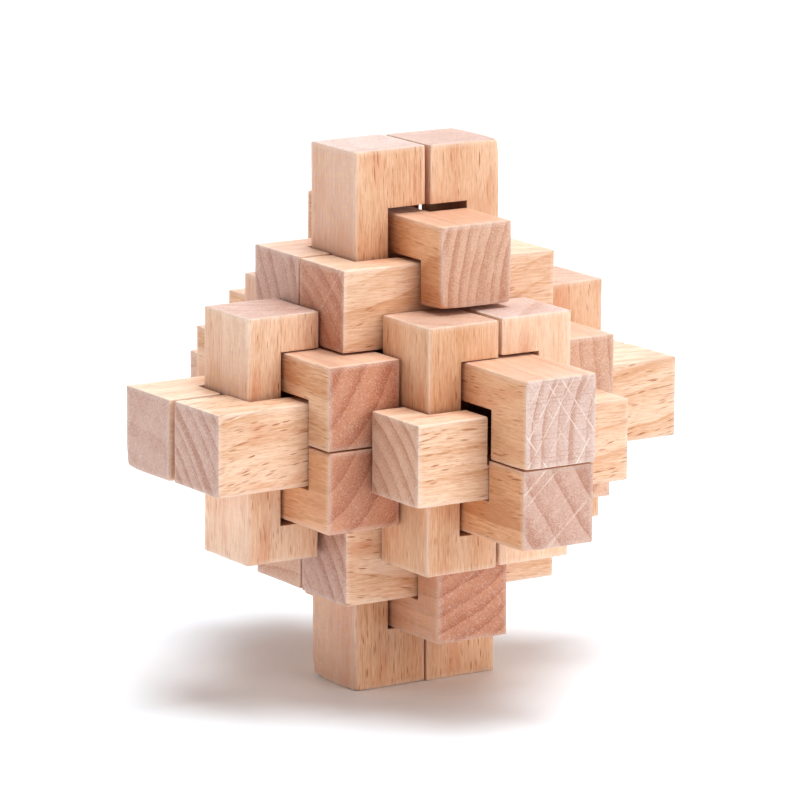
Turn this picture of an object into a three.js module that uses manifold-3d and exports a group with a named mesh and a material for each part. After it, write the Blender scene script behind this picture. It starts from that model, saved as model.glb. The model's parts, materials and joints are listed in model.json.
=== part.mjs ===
// Burr puzzle of twenty-four interlocking bars in raw beech.
//
// Six long bars and eighteen short ones, every one a square bar with a wide notch across one
// side, so that each is a U. Along each of the three directions run eight bars: a long pair in
// the middle that closes around the rest, a single clasp outside each face of that pair, and
// two short pairs between. The same arrangement turns over into the other two directions.
// Two bars slide along their length, because the bars they cross have an extra notch for them:
// the key bar runs out to the front or the rear, and the right-hand upright lifts.
//
// Millimetres. +X is to the right, +Y to the rear, +Z up. The origin is under the middle of
// the puzzle, on the surface that it stands on.

import * as THREE from 'three';
import { RoundedBoxGeometry } from 'three/addons/geometries/RoundedBoxGeometry.js';
import { mergeVertices } from 'three/addons/utils/BufferGeometryUtils.js';
import Module from 'manifold-3d';

const wasm = await Module();
wasm.setup();

// Driving dimensions
const BAR = 14.1; // side of the square stock
const PLAY = 0.4; // gap between two bars that lie side by side
const LONG_LENGTH = 93.8;
const SHORT_LENGTH = 42.5;
const LONG_MOUTH = 73.4; // length of the notch in a long bar
const SHORT_MOUTH = 29.8; // length of the notch in a short bar
const NOTCH_DEPTH = 7.5; // a little over half the bar, so that crossing bars can move
const KEY_GATE_DEPTH = 8.2; // depth of the extra notches that the key bar slides through
const CLASP_GATE_MOUTH = 14.8; // length of the extra notch in a clasp, for a sliding bar
const LONG_GATE_MOUTH = 15.8; // the same in a long bar, which has more end play
const EASED_EDGE = 0.5; // radius of the eased outer edges
const EASED_STEPS = 1;
const OVERCUT = 2; // how far a cutter stands out of the bar that it cuts

// Places, counted from the centre of the puzzle
const PITCH = BAR + PLAY;
const PAIR_OFFSET = PITCH / 2;
const SHORT_PAIR_OFFSET = 1.5 * PITCH;
const CLASP_OFFSET = 2 * PITCH;

const RIGHT = new THREE.Vector3(1, 0, 0);
const REAR = new THREE.Vector3(0, 1, 0);
const UP = new THREE.Vector3(0, 0, 1);

// Each direction has the word for bars that run along it, and the words for its two sides.
const CROSSWISE = { word: 'crosswise', axis: RIGHT, sides: ['left', 'right'] };
const FORE_AFT = { word: 'fore_aft', axis: REAR, sides: ['front', 'rear'] };
const UPRIGHT = { word: 'upright', axis: UP, sides: ['lower', 'upper'] };

// along: the way the bars run. spread: the way a pair lies side by side. reach: the way that
// the two short pairs stand off from the middle.
const FAMILIES = [
  { along: UPRIGHT, spread: CROSSWISE, reach: FORE_AFT },
  { along: CROSSWISE, spread: FORE_AFT, reach: UPRIGHT },
  { along: FORE_AFT, spread: UPRIGHT, reach: CROSSWISE },
];

const KEY_BAR = 'key_bar';

// Bars with an extra notch, or gate, and the side that it is cut in from. The first four let
// the key bar through, the last three the right-hand upright.
const GATES = {
  clasp_front: UP,
  long_crosswise_front: UP,
  long_crosswise_rear: UP,
  clasp_rear: UP,
  clasp_upper: RIGHT,
  clasp_lower: RIGHT,
  long_fore_aft_lower: RIGHT,
};

// Bars whose two limbs are longer or shorter than half a bar, and by how much
const LIMB_EXTRA = {
  key_bar: 0.95,
  long_fore_aft_lower: -0.5,
  short_fore_aft_left_upper: 0.3,
  short_fore_aft_left_lower: -0.15,
};

// Where each bar lies within its play, as [right, rear, up]. The uprights stand on the surface
// and the other bars have dropped a little onto each other.
const SETTLED = {
  long_upright_left: [-0.15, 0.15, 0.05],
  long_upright_right: [0, -0.05, 0],
  long_crosswise_front: [0.4, -0.1, -0.4],
  long_crosswise_rear: [-0.15, 0.05, -0.35],
  key_bar: [0, -0.15, -0.4],
  long_fore_aft_lower: [-0.1, 0.2, -0.65],
  clasp_upper: [0.3, -0.15, -0.45],
  clasp_lower: [0.2, 0, -0.35],
  clasp_front: [0.2, -0.15, -1.0],
  clasp_rear: [-0.15, 0.15, -0.8],
  clasp_left: [-0.1, -0.15, -0.7],
  clasp_right: [0.15, -0.2, -0.75],
  short_upright_front_left: [0, -0.1, -0.85],
  short_upright_front_right: [0.15, -0.15, -0.55],
  short_upright_rear_left: [-0.3, 0.2, -0.65],
  short_upright_rear_right: [0, 0, -0.7],
  short_crosswise_upper_front: [-0.3, 0, -0.5],
  short_crosswise_upper_rear: [-0.2, 0.2, -0.2],
  short_crosswise_lower_front: [0.2, -0.15, -0.55],
  short_crosswise_lower_rear: [0.2, 0, -0.45],
  short_fore_aft_left_lower: [-0.15, 0, -0.3],
  short_fore_aft_left_upper: [-0.15, 0.1, -0.3],
  short_fore_aft_right_lower: [-0.1, 0.2, -0.4],
  short_fore_aft_right_upper: [0.05, -0.1, -0.45],
};

// Bars that lean or turn a little within their play, in degrees about RIGHT, REAR and UP
const LEANING = {
  long_upright_left: [0, -0.45, 0],
  long_crosswise_front: [0, 0, 0.4],
  clasp_upper: [0, 0, -0.4],
  short_crosswise_upper_front: [0, 0.4, -0.6],
};

const TONES = {
  pale: new THREE.MeshStandardMaterial({ color: 0xe9c49d, roughness: 0.7, metalness: 0 }),
  honey: new THREE.MeshStandardMaterial({ color: 0xdfb083, roughness: 0.7, metalness: 0 }),
  rosy: new THREE.MeshStandardMaterial({ color: 0xd59f78, roughness: 0.72, metalness: 0 }),
};

const ROSY_BARS = [
  'clasp_upper',
  'short_fore_aft_left_upper',
  'short_fore_aft_left_lower',
  'short_upright_front_left',
  'clasp_lower',
  'long_fore_aft_lower',
];

const PALE_BARS = [
  'clasp_left',
  'clasp_front',
  'long_crosswise_front',
  'long_crosswise_rear',
  'short_upright_front_right',
  'short_crosswise_lower_front',
  'key_bar',
];

function toManifold(geometry) {
  const bare = geometry.clone();
  bare.deleteAttribute('normal');
  bare.deleteAttribute('uv');
  const merged = mergeVertices(bare, 1e-4);
  return new wasm.Manifold(
    new wasm.Mesh({
      numProp: 3,
      vertProperties: new Float32Array(merged.attributes.position.array),
      triVerts: new Uint32Array(merged.index.array),
    }),
  );
}

function toGeometry(solid) {
  const mesh = solid.getMesh();
  const geometry = new THREE.BufferGeometry();
  geometry.setAttribute('position', new THREE.BufferAttribute(mesh.vertProperties, 3));
  geometry.setIndex(new THREE.BufferAttribute(mesh.triVerts, 1));
  geometry.computeVertexNormals();
  return geometry;
}

// The box that cuts a notch into the +X side of a bar that runs along Z. It is as long as the
// notch's mouth and runs right across the bar.
function notchCutter(mouth, depth) {
  const width = BAR + 2 * OVERCUT;
  const height = depth + OVERCUT;
  const cutter = new THREE.BoxGeometry(height, width, mouth);
  cutter.translate(BAR / 2 - depth + height / 2, 0, 0);
  return cutter;
}

// One U-shaped bar in its own frame: it runs along Z, and its notch opens towards +X. The
// limbs beside the notch end limbExtra beyond the bar's square.
function barGeometry(long, limbExtra, gate) {
  const length = long ? LONG_LENGTH : SHORT_LENGTH;
  const blank = new RoundedBoxGeometry(BAR + limbExtra, BAR, length, EASED_STEPS, EASED_EDGE);
  blank.translate(limbExtra / 2, 0, 0);
  const cutter = notchCutter(long ? LONG_MOUTH : SHORT_MOUTH, NOTCH_DEPTH);
  let solid = toManifold(blank).subtract(toManifold(cutter));
  if (gate) {
    const gateCutter = notchCutter(long ? LONG_GATE_MOUTH : CLASP_GATE_MOUTH, gate.depth);
    gateCutter.rotateZ(gate.turn);
    solid = solid.subtract(toManifold(gateCutter));
  }
  return toGeometry(solid);
}

// The extra notch of a bar that runs along `along`, or null: its depth, and the quarter turn
// about the bar's length that brings it to its side.
function gateOf(name, along, opens) {
  const side = GATES[name];
  if (!side) {
    return null;
  }
  const across = new THREE.Vector3().crossVectors(along, opens);
  return {
    depth: side === UP ? KEY_GATE_DEPTH : NOTCH_DEPTH,
    turn: (Math.PI / 2) * Math.sign(side.dot(across)),
  };
}

function toneOf(name) {
  if (ROSY_BARS.includes(name)) {
    return TONES.rosy;
  }
  if (PALE_BARS.includes(name)) {
    return TONES.pale;
  }
  return TONES.honey;
}

// Places a bar that runs along `along`, with its notch open towards `opens`.
function makeBar({ name, long, along, opens, centre }) {
  const across = new THREE.Vector3().crossVectors(along, opens);
  const geometry = barGeometry(long, LIMB_EXTRA[name] ?? 0, gateOf(name, along, opens));
  const bar = new THREE.Mesh(geometry, toneOf(name));
  bar.name = name;
  bar.quaternion.setFromRotationMatrix(new THREE.Matrix4().makeBasis(opens, across, along));
  if (LEANING[name]) {
    const turns = LEANING[name].map(THREE.MathUtils.degToRad);
    bar.quaternion.premultiply(new THREE.Quaternion().setFromEuler(new THREE.Euler(...turns)));
  }
  bar.position.copy(centre).add(new THREE.Vector3(...SETTLED[name]));
  return bar;
}

// The eight bars that run one way.
function makeFamily({ along, spread, reach }) {
  const family = new THREE.Group();
  [-1, 1].forEach((side, index) => {
    const spreadWord = spread.sides[index];
    const isKey = along === FORE_AFT && side > 0;
    family.add(
      makeBar({
        name: isKey ? KEY_BAR : `long_${along.word}_${spreadWord}`,
        long: true,
        along: along.axis,
        opens: spread.axis.clone().multiplyScalar(-side),
        centre: spread.axis.clone().multiplyScalar(side * PAIR_OFFSET),
      }),
      makeBar({
        name: `clasp_${spreadWord}`,
        long: false,
        along: along.axis,
        opens: spread.axis.clone().multiplyScalar(-side),
        centre: spread.axis.clone().multiplyScalar(side * CLASP_OFFSET),
      }),
    );
    reach.sides.forEach((reachWord, reachIndex) => {
      const reachSide = reachIndex ? 1 : -1;
      family.add(
        makeBar({
          name: `short_${along.word}_${reachWord}_${spreadWord}`,
          long: false,
          along: along.axis,
          opens: spread.axis.clone().multiplyScalar(-side),
          centre: spread.axis
            .clone()
            .multiplyScalar(side * PAIR_OFFSET)
            .addScaledVector(reach.axis, reachSide * SHORT_PAIR_OFFSET),
        }),
      );
    });
  });
  return family;
}

const puzzle = new THREE.Group();
puzzle.position.z = LONG_LENGTH / 2;
FAMILIES.forEach((family) => puzzle.add(makeFamily(family)));

const group = new THREE.Group();
group.add(puzzle);

export default group;
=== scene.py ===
"""A burr puzzle of twenty-four raw beech bars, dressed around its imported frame.

Each bar of the frame is rebuilt as a finer one in the same place, with softened and slightly
worn edges, and gets beech that is cut from its own place in the tree: growth rings run round
a pith somewhere beside the bar, and rays run out from it, so that the ends and the sides of
a bar show the same wood. Metres, in the frame's axes; the wood itself is drawn in millimetres.
"""

import json
import math

import bmesh
import bpy
import numpy as np
from mathutils import Matrix, Vector, noise


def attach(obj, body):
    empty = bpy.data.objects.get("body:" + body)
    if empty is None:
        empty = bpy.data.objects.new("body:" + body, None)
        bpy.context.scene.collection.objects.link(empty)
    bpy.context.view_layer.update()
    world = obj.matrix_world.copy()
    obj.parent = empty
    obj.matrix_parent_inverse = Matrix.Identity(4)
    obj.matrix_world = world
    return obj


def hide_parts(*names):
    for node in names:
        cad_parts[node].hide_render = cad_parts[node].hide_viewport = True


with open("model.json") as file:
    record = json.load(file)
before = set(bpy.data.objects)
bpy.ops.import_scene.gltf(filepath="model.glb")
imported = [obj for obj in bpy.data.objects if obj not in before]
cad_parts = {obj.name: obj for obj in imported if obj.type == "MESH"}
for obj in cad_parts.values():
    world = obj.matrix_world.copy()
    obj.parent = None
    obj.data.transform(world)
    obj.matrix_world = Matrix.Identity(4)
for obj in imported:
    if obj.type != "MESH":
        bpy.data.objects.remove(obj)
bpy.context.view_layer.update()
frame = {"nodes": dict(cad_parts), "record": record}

MM = 0.001

# ---------------------------------------------------------------- the bars' shape

CAD_RADIUS = 0.5 * MM  # radius that the frame's bars have along their edges
EDGE_RADIUS = 0.3 * MM
NOTCH_EASE = 0.12 * MM  # ease of the edges of the notches
EDGE_SLICES = [0.05, 0.14, 0.28, 0.5, 1.0]  # how far in from a face the bar is sliced, in mm
SLICE_STEP = 2.6 * MM
FLAT_COSINE = math.cos(math.radians(5))  # of faces that lie square to one of the bar's axes
NOTCH_EDGE_ANGLE = math.radians(70)  # least turn from face to face over an edge of a notch
SHARP_ANGLE = math.radians(40)  # least turn over an edge that is shaded as sharp
RIPPLE_SHARE = 0.26  # how much the edge radius wavers along a bar
KNOCK_LEVEL = 0.38  # noise above this is a knock in the edge
KNOCK_SIZE = 3.2
WORN_REACH = 3.2  # how far a worn corner reaches, in its own radii
WEAR_AND_HIGHLIGHT_BAND = 0.9 * MM  # width of the paler band along an edge: partly rubbed wear, partly a painted highlight
ON_SURFACE = 1e-7  # metres

# Corners that are rounded more than the rest: which corner, as signs along X, Y and Z, and
# its radius in millimetres.
WORN_CORNERS = {
    "clasp_upper": {(-1, -1, -1): 1.1, (1, -1, -1): 0.7},
    "long_upright_right": {(1, -1, 1): 1.0, (1, 1, 1): 0.8},
    "long_upright_left": {(-1, -1, -1): 0.8, (-1, 1, -1): 1.3, (-1, -1, 1): 0.6},
    "key_bar": {(-1, -1, -1): 0.8},
    "long_fore_aft_lower": {(-1, -1, -1): 0.9},
    "clasp_front": {(-1, -1, -1): 0.7},
    "long_crosswise_rear": {(-1, 1, -1): 0.9, (-1, -1, -1): 0.6},
}


def bar_frame(node):
    """The bar's own frame as a rotation and a middle, and half its size along each axis."""
    mesh = frame["nodes"][node].data
    axes = []
    for axis in (Vector((1, 0, 0)), Vector((0, 1, 0)), Vector((0, 0, 1))):
        facing = Vector()
        for polygon in mesh.polygons:
            cosine = polygon.normal.dot(axis)
            if abs(cosine) > FLAT_COSINE:
                facing += polygon.normal * math.copysign(polygon.area, cosine)
        axes.append(facing.normalized())
    rotation = Matrix(axes).transposed()
    points = np.array([v.co @ rotation for v in mesh.vertices])
    lowest, highest = points.min(axis=0), points.max(axis=0)
    middle = rotation @ Vector((lowest + highest) / 2)
    return Matrix.Translation(middle) @ rotation.to_4x4(), Vector((highest - lowest) / 2)


def slice_places(half):
    """Where a bar is sliced across one axis: close together by its faces, then evenly."""
    near = [half - inset * MM for inset in EDGE_SLICES]
    count = round(2 * near[-1] / SLICE_STEP)
    between = [near[-1] * (2 * step / count - 1) for step in range(1, count)]
    return [-place for place in near] + near + between


def cut_finely(bm, half):
    """Cleans the solid's flat faces, eases the edges of its notches and slices it."""
    bmesh.ops.remove_doubles(bm, verts=bm.verts, dist=0.001 * MM)
    bmesh.ops.dissolve_limit(
        bm, angle_limit=math.radians(1), verts=bm.verts[:], edges=bm.edges[:]
    )
    notch_edges = [
        edge for edge in bm.edges if edge.calc_face_angle_signed(0) > NOTCH_EDGE_ANGLE
    ]
    bmesh.ops.bevel(
        bm, geom=notch_edges, offset=NOTCH_EASE, segments=2, profile=0.5, affect="EDGES"
    )
    for axis in range(3):
        normal = Vector([float(axis == i) for i in range(3)])
        for place in slice_places(half[axis]):
            geometry = bm.verts[:] + bm.edges[:] + bm.faces[:]
            bmesh.ops.bisect_plane(
                bm, geom=geometry, dist=0.0001 * MM, plane_co=normal * place, plane_no=normal
            )


def edge_radius(point, half, seed, worn):
    """The radius of a bar's rounding near a point, with small knocks and its worn corners."""
    ripple = noise.noise(point * 180 + seed) + 0.8 * noise.noise(point * 700 + seed)
    knock = max(0.0, noise.noise(point * 420 - seed) - KNOCK_LEVEL) * KNOCK_SIZE
    radius = EDGE_RADIUS * (1 + RIPPLE_SHARE * ripple + knock)
    for signs, corner_radius in worn.items():
        corner = Vector([sign * extent for sign, extent in zip(signs, half)])
        nearness = max(0.0, 1 - (point - corner).length / (WORN_REACH * corner_radius * MM))
        blend = nearness * nearness * (3 - 2 * nearness)
        radius += (corner_radius * MM - radius) * blend
    return radius


def pulled_in(point, half, radius):
    """The part of a point that lies outside the bar when it shrinks by radius, and the rest."""
    inner = Vector([max(radius - h, min(h - radius, c)) for c, h in zip(point, half)])
    return inner, point - inner


def off_two_faces(out):
    """Whether a point stands out past the inner bar in two directions, so lies by an edge."""
    return sum(abs(part) > ON_SURFACE for part in out) >= 2


def round_edges(bm, half, seed, worn):
    """Moves the bar's outer edges and corners onto a rounding of varying radius."""
    for vert in bm.verts:
        _, cad_out = pulled_in(vert.co, half, CAD_RADIUS)
        if not off_two_faces(cad_out) and not worn:
            continue
        radius = edge_radius(vert.co, half, seed, worn)
        inner, out = pulled_in(vert.co, half, radius)
        if not off_two_faces(out):
            continue
        if cad_out.length > 0.9 * CAD_RADIUS or out.length > radius:
            vert.co = inner + out.normalized() * radius


def store_grain(mesh, half, along):
    """Keeps each point's place in the bar, in mm, how near it is to an edge, and which way each
    face looks. In all of them the last component is the one along the bar."""
    points = np.empty(len(mesh.vertices) * 3, np.float32)
    mesh.vertices.foreach_get("co", points)
    points = points.reshape(-1, 3)
    order = [axis for axis in range(3) if axis != along] + [along]
    grain = mesh.attributes.new("grain", "FLOAT_VECTOR", "POINT")
    grain.data.foreach_set("vector", (points[:, order] / MM).ravel())
    inset = np.sort(np.array(half) - np.abs(points), axis=1)
    # How near a point is to an edge. The edge band is painted paler there, partly as wear and
    # partly as a painted highlight.
    nearness = np.clip(1 - (inset[:, 0] + inset[:, 1]) / WEAR_AND_HIGHLIGHT_BAND, 0, 1)
    worn = mesh.attributes.new("worn", "FLOAT", "POINT")
    worn.data.foreach_set("value", nearness.astype(np.float32))
    normals = np.array([polygon.normal for polygon in mesh.polygons], np.float32)
    facing = mesh.attributes.new("facing", "FLOAT_VECTOR", "FACE")
    facing.data.foreach_set("vector", normals[:, order].ravel())


# ---------------------------------------------------------------- beech

# Light and dark wood of a bar's sides.
TONES = {
    "beech_pale": {"early": (0.89, 0.62, 0.44), "late": (0.70, 0.375, 0.205)},
    "beech_honey": {"early": (0.84, 0.535, 0.345), "late": (0.63, 0.30, 0.14)},
    "beech_rosy": {"early": (0.82, 0.45, 0.245), "late": (0.60, 0.255, 0.105)},
    "amber": {"early": (0.83, 0.49, 0.29), "late": (0.62, 0.275, 0.12)},
    "whitish": {"early": (0.93, 0.67, 0.48), "late": (0.78, 0.46, 0.28)},
}
RAY_COLOR = (0.43, 0.135, 0.042, 1)
PORE_COLOR = (0.56, 0.22, 0.085, 1)
BLUSH_COLOR = (0.68, 0.28, 0.14, 1)
FLAKE_COLOR = (0.71, 0.435, 0.35, 1)
# Pale colour of dust and scratches on the ends, and of the painted highlight along the edges
DUST_AND_HIGHLIGHT_COLOR = (0.93, 0.80, 0.71, 1)
KERF_COLOR = (0.42, 0.215, 0.15, 1)

# Light wood of a bar's ends. Their dark wood is the same, times END_LATE.
ENDS = {
    "grey": (0.71, 0.505, 0.43),
    "pink": (0.64, 0.395, 0.31),
    "plain": (0.71, 0.43, 0.295),
    "rosy": (0.63, 0.29, 0.17),
}
END_LATE = (0.74, 0.56, 0.47)

# How each bar was cut from the tree. pith: the direction and distance of the tree's middle from
# the middle of the bar, in degrees and millimetres. ring: the width of a growth ring. rings: how
# strongly they show. flecks: the share of rays that show. slope: how far the grain runs out of
# the bar's line, in millimetres for each millimetre. end: the light wood of its ends. tone: the
# wood of its sides, where it isn't that of the bar's slot. Directions are counted in the bar's
# cross-section: from +Y towards +Z in a crosswise bar, from +X towards +Z in a fore-aft one,
# from +X towards +Y in an upright.
PLAIN_CUT = {"ring": 2.8, "rings": 0.6, "flecks": 0.12, "slope": (0.03, 0.02), "end": "plain"}
CUTS = {
    "long_upright_left": {"pith": (88, 60), "ring": 2.6, "rings": 0.3, "flecks": 0.24,
                          "end": "grey"},
    "long_upright_right": {"pith": (70, 50), "ring": 2.2, "rings": 0.4, "flecks": 0.16,
                           "end": "pink"},
    "clasp_left": {"pith": (62, 45), "ring": 2.4, "flecks": 0.15, "end": "pink"},
    "short_upright_front_left": {"pith": (48, 60), "ring": 3.4, "rings": 0.4, "flecks": 0.05,
                                 "tone": "beech_honey"},
    "short_upright_front_right": {"pith": (-46, 70), "ring": 3.8, "rings": 0.4, "flecks": 0.02,
                                  "end": "grey", "tone": "whitish"},
    "long_crosswise_front": {"pith": (-38, 48), "ring": 2.8, "rings": 1.6, "flecks": 0.3,
                             "slope": (0.02, -0.13), "end": "pink"},
    "long_crosswise_rear": {"pith": (-80, 70), "ring": 4.0, "rings": 0.3, "flecks": 0.18,
                            "end": "pink"},
    "clasp_front": {"pith": (-48, 42), "ring": 3.2, "rings": 1.1, "flecks": 0.2,
                    "slope": (0.0, -0.05)},
    "short_crosswise_upper_front": {"pith": (-45, 34), "ring": 3.2, "rings": 1.1, "flecks": 0.1,
                                    "slope": (0.05, -0.2), "end": "rosy", "tone": "beech_pale"},
    "short_crosswise_upper_rear": {"pith": (-15, 50), "ring": 3.0, "rings": 0.9, "end": "pink"},
    "short_crosswise_lower_front": {"pith": (-38, 40), "ring": 2.8, "rings": 1.0, "flecks": 0.22,
                                    "slope": (0.0, 0.12), "end": "pink"},
    "key_bar": {"pith": (-14, 60), "ring": 2.9, "rings": 1.3, "flecks": 0.2,
                "slope": (0.0, 0.06), "end": "grey", "tone": "amber"},
    "long_fore_aft_lower": {"pith": (28, 52), "ring": 4.6, "rings": 1.5, "flecks": 0.2,
                            "slope": (0.0, 0.08), "end": "pink"},
    "clasp_upper": {"pith": (-12, 55), "ring": 2.0, "rings": 1.3, "flecks": 0.2,
                    "slope": (0.0, -0.06)},
    "clasp_lower": {"pith": (120, 40), "ring": 2.8, "rings": 0.9, "end": "rosy"},
    "short_fore_aft_left_upper": {"pith": (150, 36), "ring": 4.5, "rings": 1.2, "flecks": 0.18,
                                  "end": "rosy", "tone": "beech_honey"},
    "short_fore_aft_left_lower": {"pith": (140, 36), "ring": 4.2, "rings": 1.0, "end": "rosy"},
}

# What the saw left on a bar's ends. scratches: pale ones, in two directions in degrees, a pitch
# apart. kerfs: fine dark lines, in one direction. Both with how strongly they show.
PLAIN_SAWN = {"scratches": (35, -50), "pitch": 4.3, "pale": 0.22, "kerfs": 80, "dark": 0.2}
SAWN = {
    "key_bar": {"scratches": (-54, 58), "pitch": 2.9, "pale": 0.85, "kerfs": 0, "dark": 0.4},
    "long_fore_aft_lower": {"scratches": (40, 44), "pitch": 2.6, "pale": 0.45, "kerfs": 84},
    "long_crosswise_rear": {"scratches": (55, -60), "pitch": 3.3, "pale": 0.35},
    "clasp_left": {"scratches": (20, -50), "pitch": 3.5, "pale": 0.4, "kerfs": 30, "dark": 0.4},
    "clasp_upper": {"scratches": (62, -40), "pitch": 5.0, "pale": 0.15, "kerfs": 82, "dark": 0.3},
}


# Width, depth and height of the ray flecks, in mm
SHORT_FLECK = (0.27, 3.0, 2.7)
LONG_FLECK = (0.36, 4.0, 5.2)
FINE_FLECK = (0.17, 2.0, 1.4)


class Graph:
    """A node tree with short calls: each adds a node, links its inputs and gives its output."""

    def __init__(self, tree):
        self.tree = tree

    def add(self, kind, inputs, output=0, **settings):
        node = self.tree.nodes.new(kind)
        for key, value in settings.items():
            setattr(node, key, value)
        for key, value in inputs.items():
            if isinstance(value, bpy.types.NodeSocket):
                self.tree.links.new(value, node.inputs[key])
            else:
                node.inputs[key].default_value = value
        return node.outputs[output]

    def math(self, operation, a, b=0.0, c=0.0):
        return self.add("ShaderNodeMath", {0: a, 1: b, 2: c}, operation=operation)

    def product(self, first, *others):
        for other in others:
            first = self.math("MULTIPLY", first, other)
        return first

    def vector(self, operation, a, b=(0, 0, 0)):
        output = "Value" if operation in ("LENGTH", "DOT_PRODUCT") else "Vector"
        return self.add("ShaderNodeVectorMath", {0: a, 1: b}, output, operation=operation)

    def combine(self, x, y, z):
        return self.add("ShaderNodeCombineXYZ", {"X": x, "Y": y, "Z": z})

    def separate(self, vector):
        node = self.add("ShaderNodeSeparateXYZ", {"Vector": vector}).node
        return [node.outputs[name] for name in "XYZ"]

    def turned(self, vector, angle):
        inputs = {"Vector": vector, "Angle": angle}
        return self.add("ShaderNodeVectorRotate", inputs, rotation_type="Z_AXIS")

    def noise(self, vector, scale=1.0, detail=2.0, roughness=0.5, output="Fac"):
        inputs = {"Vector": vector, "Scale": scale, "Detail": detail, "Roughness": roughness}
        return self.add("ShaderNodeTexNoise", inputs, output)

    def streaks(self, grain, seed, scale, detail=2.0, roughness=0.5):
        """Noise at the scales across, across and along the bar, in features per millimetre."""
        place = self.vector("ADD", self.vector("MULTIPLY", grain, scale), seed)
        return self.noise(place, detail=detail, roughness=roughness)

    def luck(self, value):
        inputs = {"W": self.math("FLOOR", value)}
        return self.add("ShaderNodeTexWhiteNoise", inputs, noise_dimensions="1D")

    def ramp(self, value, low, high, to_low=0.0, to_high=1.0, smooth=True):
        """The value brought from low..high to to_low..to_high."""
        inputs = {0: value, 1: low, 2: high, 3: to_low, 4: to_high}
        kind = "SMOOTHSTEP" if smooth else "LINEAR"
        return self.add("ShaderNodeMapRange", inputs, interpolation_type=kind)

    def mix(self, factor, a, b, blend="MIX"):
        """Two colours mixed. The node's sockets 6 and 7 are its colours, and 2 is the result."""
        inputs = {0: factor, 6: a, 7: b}
        return self.add("ShaderNodeMix", inputs, 2, data_type="RGBA", blend_type=blend)

    def group(self, tree, inputs):
        """The outputs of a node group."""
        return self.add("ShaderNodeGroup", inputs, node_tree=tree).node.outputs


def new_group(name, inputs, outputs):
    """A shader node group with named float, vector and colour sockets, as a Graph."""
    tree = bpy.data.node_groups.new(name, "ShaderNodeTree")
    for socket, kind in inputs.items():
        tree.interface.new_socket(socket, in_out="INPUT", socket_type=f"NodeSocket{kind}")
    for socket, kind in outputs.items():
        tree.interface.new_socket(socket, in_out="OUTPUT", socket_type=f"NodeSocket{kind}")
    source = tree.nodes.new("NodeGroupInput")
    graph = Graph(tree)
    graph.given = {socket: source.outputs[socket] for socket in inputs}
    graph.result = tree.nodes.new("NodeGroupOutput").inputs
    return graph


def wander(g, scale, size):
    """A smooth drift of the grain: its scale in features per millimetre, its size in mm."""
    place = g.vector("ADD", g.vector("MULTIPLY", g.given["Grain"], scale), g.given["Seed"])
    color = g.noise(place, output="Color")
    return g.vector("MULTIPLY", g.vector("SUBTRACT", color, (0.5, 0.5, 0.5)), size)


def tree_space_group():
    """Where a point of the bar lay in the tree, and how much its face looks along the rings."""
    g = new_group(
        "tree_space",
        {"Grain": "Vector", "Facing": "Vector", "Pith": "Vector", "Slope": "Vector",
         "Seed": "Vector"},
        {"Along ring": "Float", "Out": "Float", "Up": "Float", "Radial face": "Float"},
    )
    u, v, w = g.separate(g.given["Grain"])
    slow = wander(g, (0.028, 0.028, 0.02), (7, 7, 0))
    quick = wander(g, (0.28, 0.28, 0.07), (0.6, 0.6, 0))
    sloped = g.vector("MULTIPLY", g.combine(w, w, w), g.given["Slope"])
    flat = g.vector("ADD", g.combine(u, v, 0.0), sloped)
    moved = g.vector("ADD", g.vector("ADD", flat, slow), quick)
    from_pith = g.vector("SUBTRACT", moved, g.given["Pith"])
    x, y, _ = g.separate(from_pith)
    distance = g.vector("LENGTH", g.given["Pith"])
    px, py, _ = g.separate(g.given["Pith"])
    # The angle is counted from the bar's own middle, so that it never wraps round inside it.
    cross = g.math("SUBTRACT", g.product(px, y), g.product(py, x))
    dot = g.math("ADD", g.product(px, x), g.product(py, y))
    angle = g.math("ARCTAN2", cross, g.product(dot, -1.0))
    outward = g.vector("NORMALIZE", from_pith)
    along_bar = g.vector("CROSS_PRODUCT", outward, (0, 0, 1))
    radial = g.math("ABSOLUTE", g.vector("DOT_PRODUCT", g.given["Facing"], along_bar))
    g.tree.links.new(g.product(angle, distance), g.result["Along ring"])
    g.tree.links.new(g.vector("LENGTH", from_pith), g.result["Out"])
    g.tree.links.new(w, g.result["Up"])
    g.tree.links.new(radial, g.result["Radial face"])
    return g.tree


def ring_layer(g, out, width):
    """Growth rings: each darkens slowly outwards and stops short. No two are alike."""
    uneven = g.noise(g.combine(g.product(out, 0.35), 0.0, 0.0), detail=1.0)
    ring = g.math("ADD", g.math("DIVIDE", out, width), g.product(uneven, 1.2))
    phase = g.math("FRACT", ring)
    rise = g.ramp(phase, 0.2, 0.9)
    line = g.ramp(phase, 0.8, 0.93)
    stop = g.ramp(phase, 0.93, 1.0, 1.0, 0.0)
    both = g.math("ADD", g.product(rise, 0.6), g.product(line, 0.4))
    return g.product(both, stop, g.ramp(g.luck(ring), 0, 1, 0.4, 1.0))


def fleck_layer(g, space, seed, size, share):
    """Spindle-shaped ray flecks: size is one's width, depth and height, share how many show."""
    place = g.vector("ADD", g.vector("DIVIDE", space, size), seed)
    inputs = {"Vector": place, "Scale": 1.0, "Randomness": 1.0}
    cell = g.add("ShaderNodeTexVoronoi", inputs, "Distance").node
    near = g.ramp(cell.outputs["Distance"], 0.14, 0.46, 1.0, 0.0)
    luck, depth, _ = g.separate(cell.outputs["Color"])
    shown = g.math("LESS_THAN", luck, share)
    return g.product(near, shown, g.ramp(depth, 0.0, 1.0, 0.4, 1.0, smooth=False))


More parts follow.
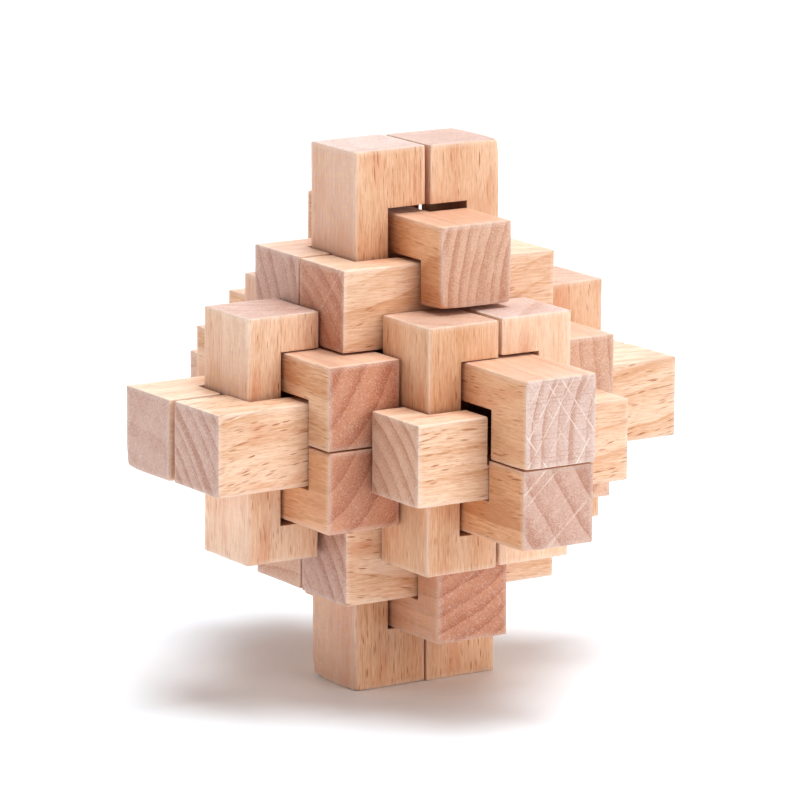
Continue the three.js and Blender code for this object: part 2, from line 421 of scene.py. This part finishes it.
def line_layer(g, grain, angle, pitch, width, seed):
    """Straight lines across an end at an angle: unevenly spaced, faint or strong, and broken."""
    along, across, _ = g.separate(g.turned(grain, g.product(angle, -1.0)))
    step = g.math("ADD", g.math("DIVIDE", across, pitch), seed)
    place = g.math("FRACT", step)
    centre = g.ramp(g.luck(step), 0, 1, 0.25, 0.75, smooth=False)
    off = g.product(g.math("ABSOLUTE", g.math("SUBTRACT", place, centre)), pitch)
    line = g.ramp(off, g.math("MULTIPLY", width, 0.35), width, 1.0, 0.0)
    strength = g.ramp(g.luck(g.math("ADD", step, 31.0)), 0.1, 0.9, 0.25, 1.0)
    broken = g.noise(g.combine(g.product(along, 0.3), g.math("FLOOR", step), 0.0), detail=1.0)
    return g.product(line, strength, g.ramp(broken, 0.38, 0.55))


def sides_color(g, grain, seed, late):
    """The long grain: rings, fibres, pores and cloudy tone over the bar's two woods."""
    fibres = g.streaks(grain, seed, (2.6, 2.6, 0.09), detail=4.0, roughness=0.7)
    threads = g.streaks(grain, seed, (6.0, 6.0, 0.35), detail=2.0, roughness=0.6)
    clouds = g.streaks(grain, seed, (0.16, 0.16, 0.035))
    ring_show = g.product(late, g.given["Ring strength"], 0.62)
    fibre_show = g.ramp(fibres, 0.3, 0.72, -0.2, 0.42, smooth=False)
    thread_show = g.ramp(threads, 0.3, 0.72, -0.34, 0.56, smooth=False)
    cloud_show = g.ramp(clouds, 0.3, 0.7, -0.15, 0.3)
    depth = g.math("ADD", ring_show, fibre_show)
    depth = g.math("ADD", g.math("ADD", depth, thread_show), cloud_show)
    depth = g.ramp(depth, 0.0, 1.0, 0.0, 1.0, smooth=False)
    color = g.mix(depth, g.given["Early wood"], g.given["Late wood"])
    pores = g.ramp(g.streaks(grain, seed, (5.2, 5.2, 0.45), detail=1.0), 0.58, 0.72)
    color = g.mix(g.product(pores, 0.3), color, PORE_COLOR)
    blush = g.ramp(g.streaks(grain, seed, (0.24, 0.24, 0.07), detail=4.0), 0.54, 0.7)
    color = g.mix(g.product(blush, 0.5), color, BLUSH_COLOR)
    return color, fibres, threads


def ends_color(g, grain, placed, seed, late):
    """The end grain: rings, the mottle of its pores, and dust in short lines along the rays."""
    mottle = g.streaks(grain, seed, (2.8, 2.8, 1.0), detail=3.0, roughness=0.75)
    clouds = g.streaks(grain, seed, (0.2, 0.2, 0.1))
    depth = g.product(late, g.given["Ring strength"], 1.2)
    depth = g.math("ADD", depth, g.ramp(mottle, 0.3, 0.7, -0.3, 0.58, smooth=False))
    depth = g.math("ADD", depth, g.ramp(clouds, 0.3, 0.7, -0.1, 0.2))
    dark = g.mix(1.0, g.given["End wood"], (*END_LATE, 1), blend="MULTIPLY")
    color = g.mix(g.ramp(depth, 0, 1, smooth=False), g.given["End wood"], dark)
    dust = g.ramp(g.streaks(placed, seed, (6.5, 3.0, 0.0), detail=2.0, roughness=0.6), 0.5, 0.7)
    return g.mix(g.product(dust, 0.34), color, DUST_AND_HIGHLIGHT_COLOR), mottle


def beech_group():
    """Beech: colour, roughness and height at a point of a bar."""
    g = new_group(
        "beech",
        {
            "Pith": "Vector",
            "Slope": "Vector",
            "Seed": "Vector",
            "Early wood": "Color",
            "Late wood": "Color",
            "End wood": "Color",
            "Ring width": "Float",
            "Ring strength": "Float",
            "Fleck share": "Float",
            "Scratch angle A": "Float",
            "Scratch angle B": "Float",
            "Scratch pitch": "Float",
            "Scratch strength": "Float",
            "Kerf angle": "Float",
            "Kerf strength": "Float",
        },
        {"Color": "Color", "Roughness": "Float", "Height": "Float"},
    )
    grain = g.add("ShaderNodeAttribute", {}, "Vector", attribute_name="grain")
    facing = g.add("ShaderNodeAttribute", {}, "Vector", attribute_name="facing")
    # Nearness to an edge, where the colour is painted paler: partly wear, partly a painted
    # highlight
    worn = g.add("ShaderNodeAttribute", {}, "Fac", attribute_name="worn")
    seed = g.given["Seed"]
    passed_on = {name: g.given[name] for name in ("Pith", "Slope", "Seed")}
    space = g.group(tree_space_group(), {"Grain": grain, "Facing": facing, **passed_on})
    placed = g.combine(space["Along ring"], space["Out"], space["Up"])
    late = ring_layer(g, space["Out"], g.given["Ring width"])
    end = g.ramp(g.math("ABSOLUTE", g.separate(facing)[2]), 0.55, 0.85)

    side, fibres, threads = sides_color(g, grain, seed, late)
    end_side, mottle = ends_color(g, grain, placed, seed, late)
    color = g.mix(end, side, end_side)

    # Where a face runs along the rays they show as pale pinkish flakes across the grain.
    flat_on = g.ramp(space["Radial face"], 0.72, 0.98)
    flakes = g.ramp(g.streaks(placed, seed, (0.35, 0.55, 2.1), detail=4.0), 0.4, 0.62)
    flake_show = g.math("MULTIPLY_ADD", flakes, 0.4, 0.2)
    inside = g.math("SUBTRACT", 1.0, end)
    color = g.mix(g.product(flake_show, flat_on, inside), color, FLAKE_COLOR)

    # Ray flecks are dark dashes where a face runs across the rays.
    few = g.product(g.given["Fleck share"], 0.45)
    short = fleck_layer(g, placed, seed, SHORT_FLECK, g.given["Fleck share"])
    long = fleck_layer(g, placed, seed, LONG_FLECK, few)
    fine = fleck_layer(g, placed, seed, FINE_FLECK, 0.3)
    flecks = g.math("MAXIMUM", g.math("MAXIMUM", short, long), g.product(fine, 0.36))
    crossing = g.ramp(space["Radial face"], 0.6, 0.98, 1.0, 0.14)
    fleck_show = g.product(flecks, crossing, g.ramp(end, 0, 1, 1.0, 0.22))
    color = g.mix(fleck_show, color, RAY_COLOR)

    # Saw kerfs and scratches on the ends
    seed_x = g.separate(seed)[0]
    kerfs = line_layer(g, grain, g.given["Kerf angle"], 0.75, 0.11, seed_x)
    kerfs = g.product(kerfs, end)
    color = g.mix(g.product(kerfs, g.given["Kerf strength"]), color, KERF_COLOR)
    pitch = g.given["Scratch pitch"]
    first = line_layer(g, grain, g.given["Scratch angle A"], pitch, 0.14, seed_x)
    second = line_layer(g, grain, g.given["Scratch angle B"], pitch, 0.14, seed_x)
    scratches = g.product(g.math("MAXIMUM", first, second), end)
    color = g.mix(g.product(scratches, g.given["Scratch strength"]), color, DUST_AND_HIGHLIGHT_COLOR)

    # Edges are a little paler: partly where hands have rubbed them, partly a painted highlight
    # along each edge.
    color = g.mix(g.product(worn, 0.32), color, DUST_AND_HIGHLIGHT_COLOR)

    rough = g.ramp(fibres, 0.3, 0.7, 0.44, 0.58, smooth=False)
    rough = g.math("ADD", rough, g.product(end, 0.06))
    rough = g.math("SUBTRACT", rough, g.product(worn, 0.06))

    height = g.math("ADD", g.product(fibres, 0.8), g.product(threads, 0.5))
    height = g.math("SUBTRACT", height, g.product(flecks, 0.3))
    end_height = g.math("SUBTRACT", g.product(mottle, 1.2), g.product(kerfs, 0.7))
    end_height = g.math("SUBTRACT", end_height, g.product(scratches, 0.5))
    height = g.math("ADD", height, g.product(end_height, end))

    g.tree.links.new(color, g.result["Color"])
    g.tree.links.new(rough, g.result["Roughness"])
    g.tree.links.new(height, g.result["Height"])
    return g.tree


BUMP_DEPTH = 0.05 * MM
BUMP_STRENGTH = 0.8
GLOSS = 0.55  # specular level
SHEEN = 0.14  # of the fine fuzz of sanded wood
SHEEN_ROUGHNESS = 0.45
GOLDEN_ANGLE = 137.5  # spreads the piths of the bars that have no direction of their own


def beech_material(node, slot, number, group):
    """The beech of one bar."""
    cut = {"pith": (GOLDEN_ANGLE * number, 48), **PLAIN_CUT, **CUTS.get(node, {})}
    sawn = {**PLAIN_SAWN, **SAWN.get(node, {})}
    tone = TONES[cut.get("tone", slot)]
    direction, distance = math.radians(cut["pith"][0]), cut["pith"][1]
    material = bpy.data.materials.new(f"beech_{node}")
    material.use_nodes = True
    g = Graph(material.node_tree)
    wood = g.group(group, {
        "Pith": (math.cos(direction) * distance, math.sin(direction) * distance, 0),
        "Slope": (*cut["slope"], 0),
        "Seed": (7.3 * number, 3.1 * number, 5.7 * number),
        "Early wood": (*tone["early"], 1),
        "Late wood": (*tone["late"], 1),
        "End wood": (*ENDS[cut["end"]], 1),
        "Ring width": cut["ring"],
        "Ring strength": cut["rings"],
        "Fleck share": cut["flecks"],
        "Scratch angle A": math.radians(sawn["scratches"][0]),
        "Scratch angle B": math.radians(sawn["scratches"][1]),
        "Scratch pitch": sawn["pitch"],
        "Scratch strength": sawn["pale"],
        "Kerf angle": math.radians(sawn["kerfs"]),
        "Kerf strength": sawn["dark"],
    })
    shader = material.node_tree.nodes["Principled BSDF"]
    shader.inputs["Specular IOR Level"].default_value = GLOSS
    shader.inputs["Sheen Weight"].default_value = SHEEN
    shader.inputs["Sheen Roughness"].default_value = SHEEN_ROUGHNESS
    bump = {"Height": wood["Height"], "Distance": BUMP_DEPTH, "Strength": BUMP_STRENGTH}
    material.node_tree.links.new(g.add("ShaderNodeBump", bump), shader.inputs["Normal"])
    material.node_tree.links.new(wood["Color"], shader.inputs["Base Color"])
    material.node_tree.links.new(wood["Roughness"], shader.inputs["Roughness"])
    return material


# ---------------------------------------------------------------- building the bars


def build_bar(node, body, slot, number, group):
    """One bar of the puzzle, in place of its CAD node."""
    place, half = bar_frame(node)
    along = max(range(3), key=lambda axis: half[axis])
    seed = Vector((number * 1.7, number * 2.3, number * 3.1))
    bm = bmesh.new()
    bm.from_mesh(frame["nodes"][node].data)
    bm.transform(place.inverted())
    cut_finely(bm, half)
    round_edges(bm, half, seed, WORN_CORNERS.get(node, {}))
    mesh = bpy.data.meshes.new(f"{node}_wood")
    bm.to_mesh(mesh)
    bm.free()
    store_grain(mesh, half, along)
    mesh.transform(place)
    mesh.shade_smooth()
    mesh.set_sharp_from_angle(angle=SHARP_ANGLE)
    mesh.materials.append(beech_material(node, slot, number, group))
    bar = bpy.data.objects.new(f"{node}_wood", mesh)
    bpy.context.scene.collection.objects.link(bar)
    flat = bar.modifiers.new("flat_faces", "WEIGHTED_NORMAL")
    flat.keep_sharp = True
    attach(bar, body)
    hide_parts(node)


def build_puzzle():
    """Every bar, on its body and with its slot from the record."""
    record = frame["record"]
    slots = {part["node"]: part["material_slot"] for part in record["subparts"]}
    group = beech_group()
    number = 0
    for body, nodes in record["behaviour"]["bodies"].items():
        for node in nodes:
            number += 1
            build_bar(node, body, slots[node], number, group)


# ---------------------------------------------------------------- studio

# The photo's camera, fitted to the edges of the bars. The roll was then adjusted.
VIEW_AZIMUTH = math.radians(-33.23)
VIEW_ELEVATION = math.radians(12.03)
VIEW_ROLL = math.radians(0.42)
VIEW_DISTANCE = 0.9263
VIEW_TARGET = Vector((-0.0009, 0.0001, 0.0485))
LENS = 242.3  # mm
SENSOR = 36  # mm
FLOOR_REACH = 4.0
FLOOR_COLOR = (0.93, 0.93, 0.93, 1)
WORLD_STRENGTH = 0.16
EXPOSURE = -0.17  # in stops, for the lift that the contrast look gives to light tones

# The light from above
OVERHEAD_SPREAD = math.radians(42)
OVERHEAD_STRENGTH = 3.5
OVERHEAD_COLOR = (0.85, 0.93, 1.0)
OVERHEAD_WAY = Vector((0.12, -0.08, 1))

# Softboxes: place, size, power in watts and colour
SOFTBOXES = {
    "front_light": ((0.52, -1.4, 0.6), 0.9, 10, (1, 1, 1)),
    "rear_light": ((0.9, 1.2, 0.6), 1.2, 8, (1, 1, 1)),
    "left_light": ((-1.25, 0.7, 0.34), 0.9, 6.8, (0.9, 0.96, 1.0)),
}


def add_camera():
    """The camera of the main view. It looks at the puzzle from its front left."""
    data = bpy.data.cameras.new("camera")
    data.sensor_width = SENSOR
    data.lens = LENS
    data.clip_start = 0.01
    data.clip_end = 50
    camera = bpy.data.objects.new("camera", data)
    bpy.context.scene.collection.objects.link(camera)
    back = Vector(
        (
            math.sin(VIEW_AZIMUTH) * math.cos(VIEW_ELEVATION),
            -math.cos(VIEW_AZIMUTH) * math.cos(VIEW_ELEVATION),
            math.sin(VIEW_ELEVATION),
        )
    )
    turn = back.to_track_quat("Z", "Y").to_matrix() @ Matrix.Rotation(VIEW_ROLL, 3, "Z")
    camera.matrix_world = Matrix.Translation(VIEW_TARGET + back * VIEW_DISTANCE) @ turn.to_4x4()
    bpy.context.scene.camera = camera


def add_softbox(name, position, size, power, color):
    """A square soft light that faces the middle of the puzzle."""
    data = bpy.data.lights.new(name, "AREA")
    data.shape = "SQUARE"
    data.size = size
    data.energy = power
    data.color = color
    light = bpy.data.objects.new(name, data)
    bpy.context.scene.collection.objects.link(light)
    light.location = position
    light.rotation_euler = (Vector(position) - VIEW_TARGET).to_track_quat("Z", "Y").to_euler()


def add_overhead_light():
    """A soft light from above, from one way all over, so the whole floor is lit evenly."""
    data = bpy.data.lights.new("overhead_light", "SUN")
    data.angle = OVERHEAD_SPREAD
    data.energy = OVERHEAD_STRENGTH
    data.color = OVERHEAD_COLOR
    light = bpy.data.objects.new("overhead_light", data)
    bpy.context.scene.collection.objects.link(light)
    light.rotation_euler = OVERHEAD_WAY.to_track_quat("Z", "Y").to_euler()


def add_floor():
    """A plain pale floor, large enough to fill the view."""
    mesh = bpy.data.meshes.new("floor")
    turns = [(-1, -1), (1, -1), (1, 1), (-1, 1)]
    corners = [(x * FLOOR_REACH, y * FLOOR_REACH, 0) for x, y in turns]
    mesh.from_pydata(corners, [], [(0, 1, 2, 3)])
    floor = bpy.data.objects.new("floor", mesh)
    bpy.context.scene.collection.objects.link(floor)
    material = bpy.data.materials.new("floor_white")
    material.use_nodes = True
    shader = material.node_tree.nodes["Principled BSDF"]
    shader.inputs["Base Color"].default_value = FLOOR_COLOR
    shader.inputs["Roughness"].default_value = 0.9
    shader.inputs["Specular IOR Level"].default_value = 0.1
    mesh.materials.append(material)


def add_studio():
    """Camera, floor, lights, and a dim even light from all round."""
    add_camera()
    add_floor()
    add_overhead_light()
    for name, values in SOFTBOXES.items():
        add_softbox(name, *values)
    world = bpy.data.worlds.new("studio")
    bpy.context.scene.world = world
    world.use_nodes = True
    background = world.node_tree.nodes["Background"]
    background.inputs["Color"].default_value = (1, 1, 1, 1)
    background.inputs["Strength"].default_value = WORLD_STRENGTH
    settings = bpy.context.scene.view_settings
    settings.view_transform = "Standard"
    settings.look = "Medium High Contrast"
    settings.exposure = EXPOSURE
    settings.gamma = 1


build_puzzle()
add_studio()
